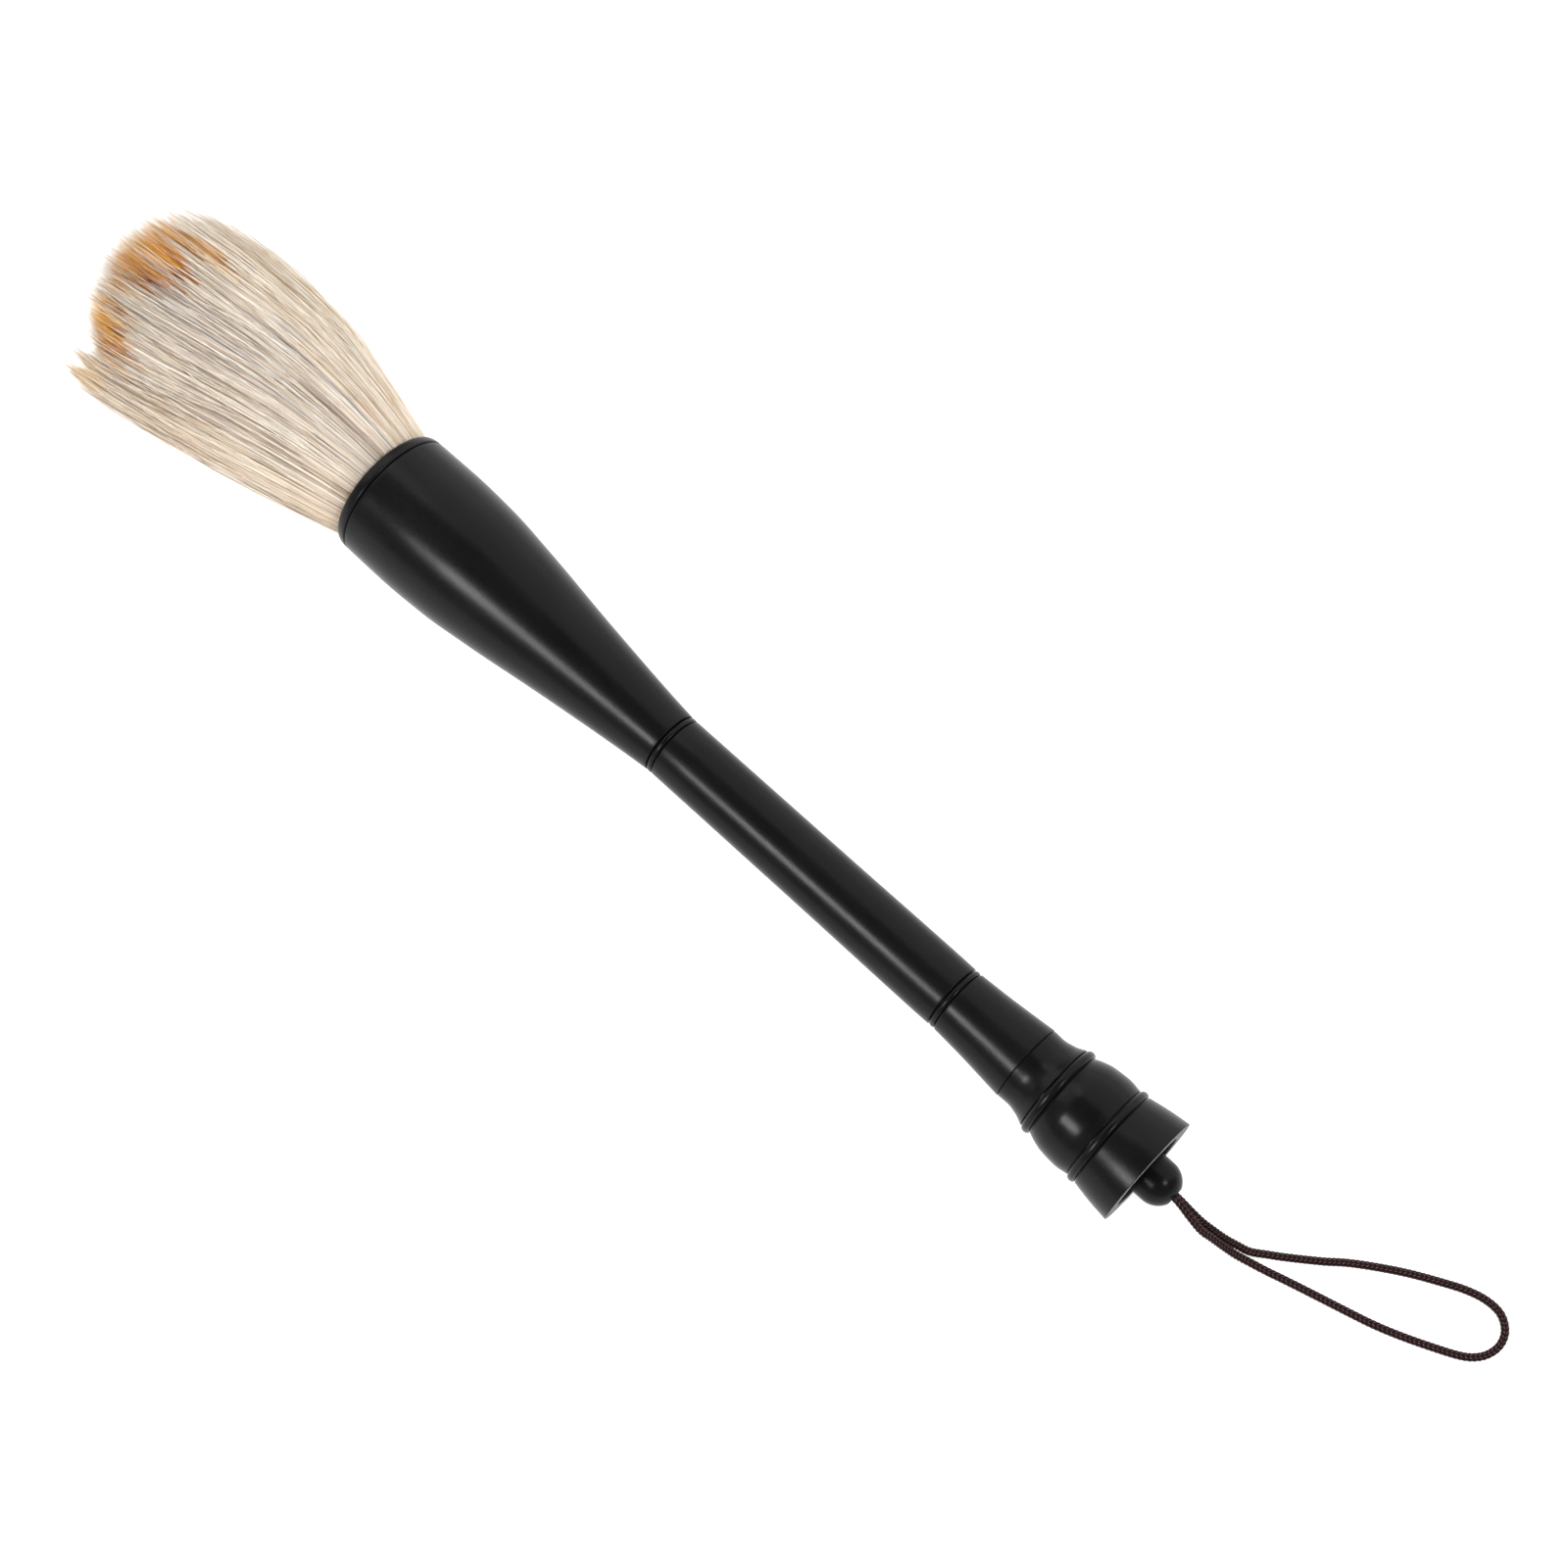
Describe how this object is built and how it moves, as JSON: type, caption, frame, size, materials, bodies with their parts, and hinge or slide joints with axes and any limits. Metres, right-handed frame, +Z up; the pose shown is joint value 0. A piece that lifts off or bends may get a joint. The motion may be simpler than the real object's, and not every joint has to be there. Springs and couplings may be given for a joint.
{
  "type": "calligraphy brush",
  "caption": "Large goat-hair calligraphy brush: a full cream tuft in a flared black ferrule, a slim shaft, and a turned tail with a domed bead and a hanging loop of cord.",
  "frame": {"origin": "on the table, under the middle of the brush's box without its cord", "axes": "+X along the brush from the tuft to the tail, with the handle's axis sloping 0.7 degrees down towards the tail; +Z up from the table the brush lies on"},
  "size_m": [0.4006, 0.0604, 0.0364],
  "materials": {
    "goat_hair": "long cream goat hair, lightly clumped",
    "core_hair": "cream hair with orange and brown tips",
    "binding_thread": "waxed thread",
    "rosin": "hardened rosin",
    "satin_black": "black turned wood, satin, fine lengthwise scratches",
    "polished_black": "black resin, polished",
    "dowel_wood": "plain bare wood",
    "braided_cord": "dark brown braided cord with a fine chevron pattern"
  },
  "bodies": {
    "brush": {"tuft_mantle": "goat_hair", "tuft_core": "core_hair", "tuft_binding": "binding_thread", "root_plug": "rosin", "mouth_ring": "satin_black", "ferrule": "satin_black", "neck_ring": "satin_black", "front_dowel": "dowel_wood", "shaft": "satin_black", "tail_ring": "satin_black", "rear_dowel": "dowel_wood", "tail_cone": "satin_black", "tail_cove": "polished_black", "cove_ring": "polished_black", "tail_dowel": "dowel_wood", "tail_bulb": "polished_black", "bulb_ring": "polished_black", "end_bell": "satin_black", "cord_knot": "braided_cord", "cord_loop": "braided_cord"},
    "bead": {"cord_bead": "polished_black"}
  },
  "joints": [
    {"name": "bead_spin", "type": "hinge", "parent": "brush", "child": "bead", "pos_m": [0.15768, 0.00223, 0.01335], "axis": [0.9999, 0, -0.0121], "continuous": true}
  ]
}
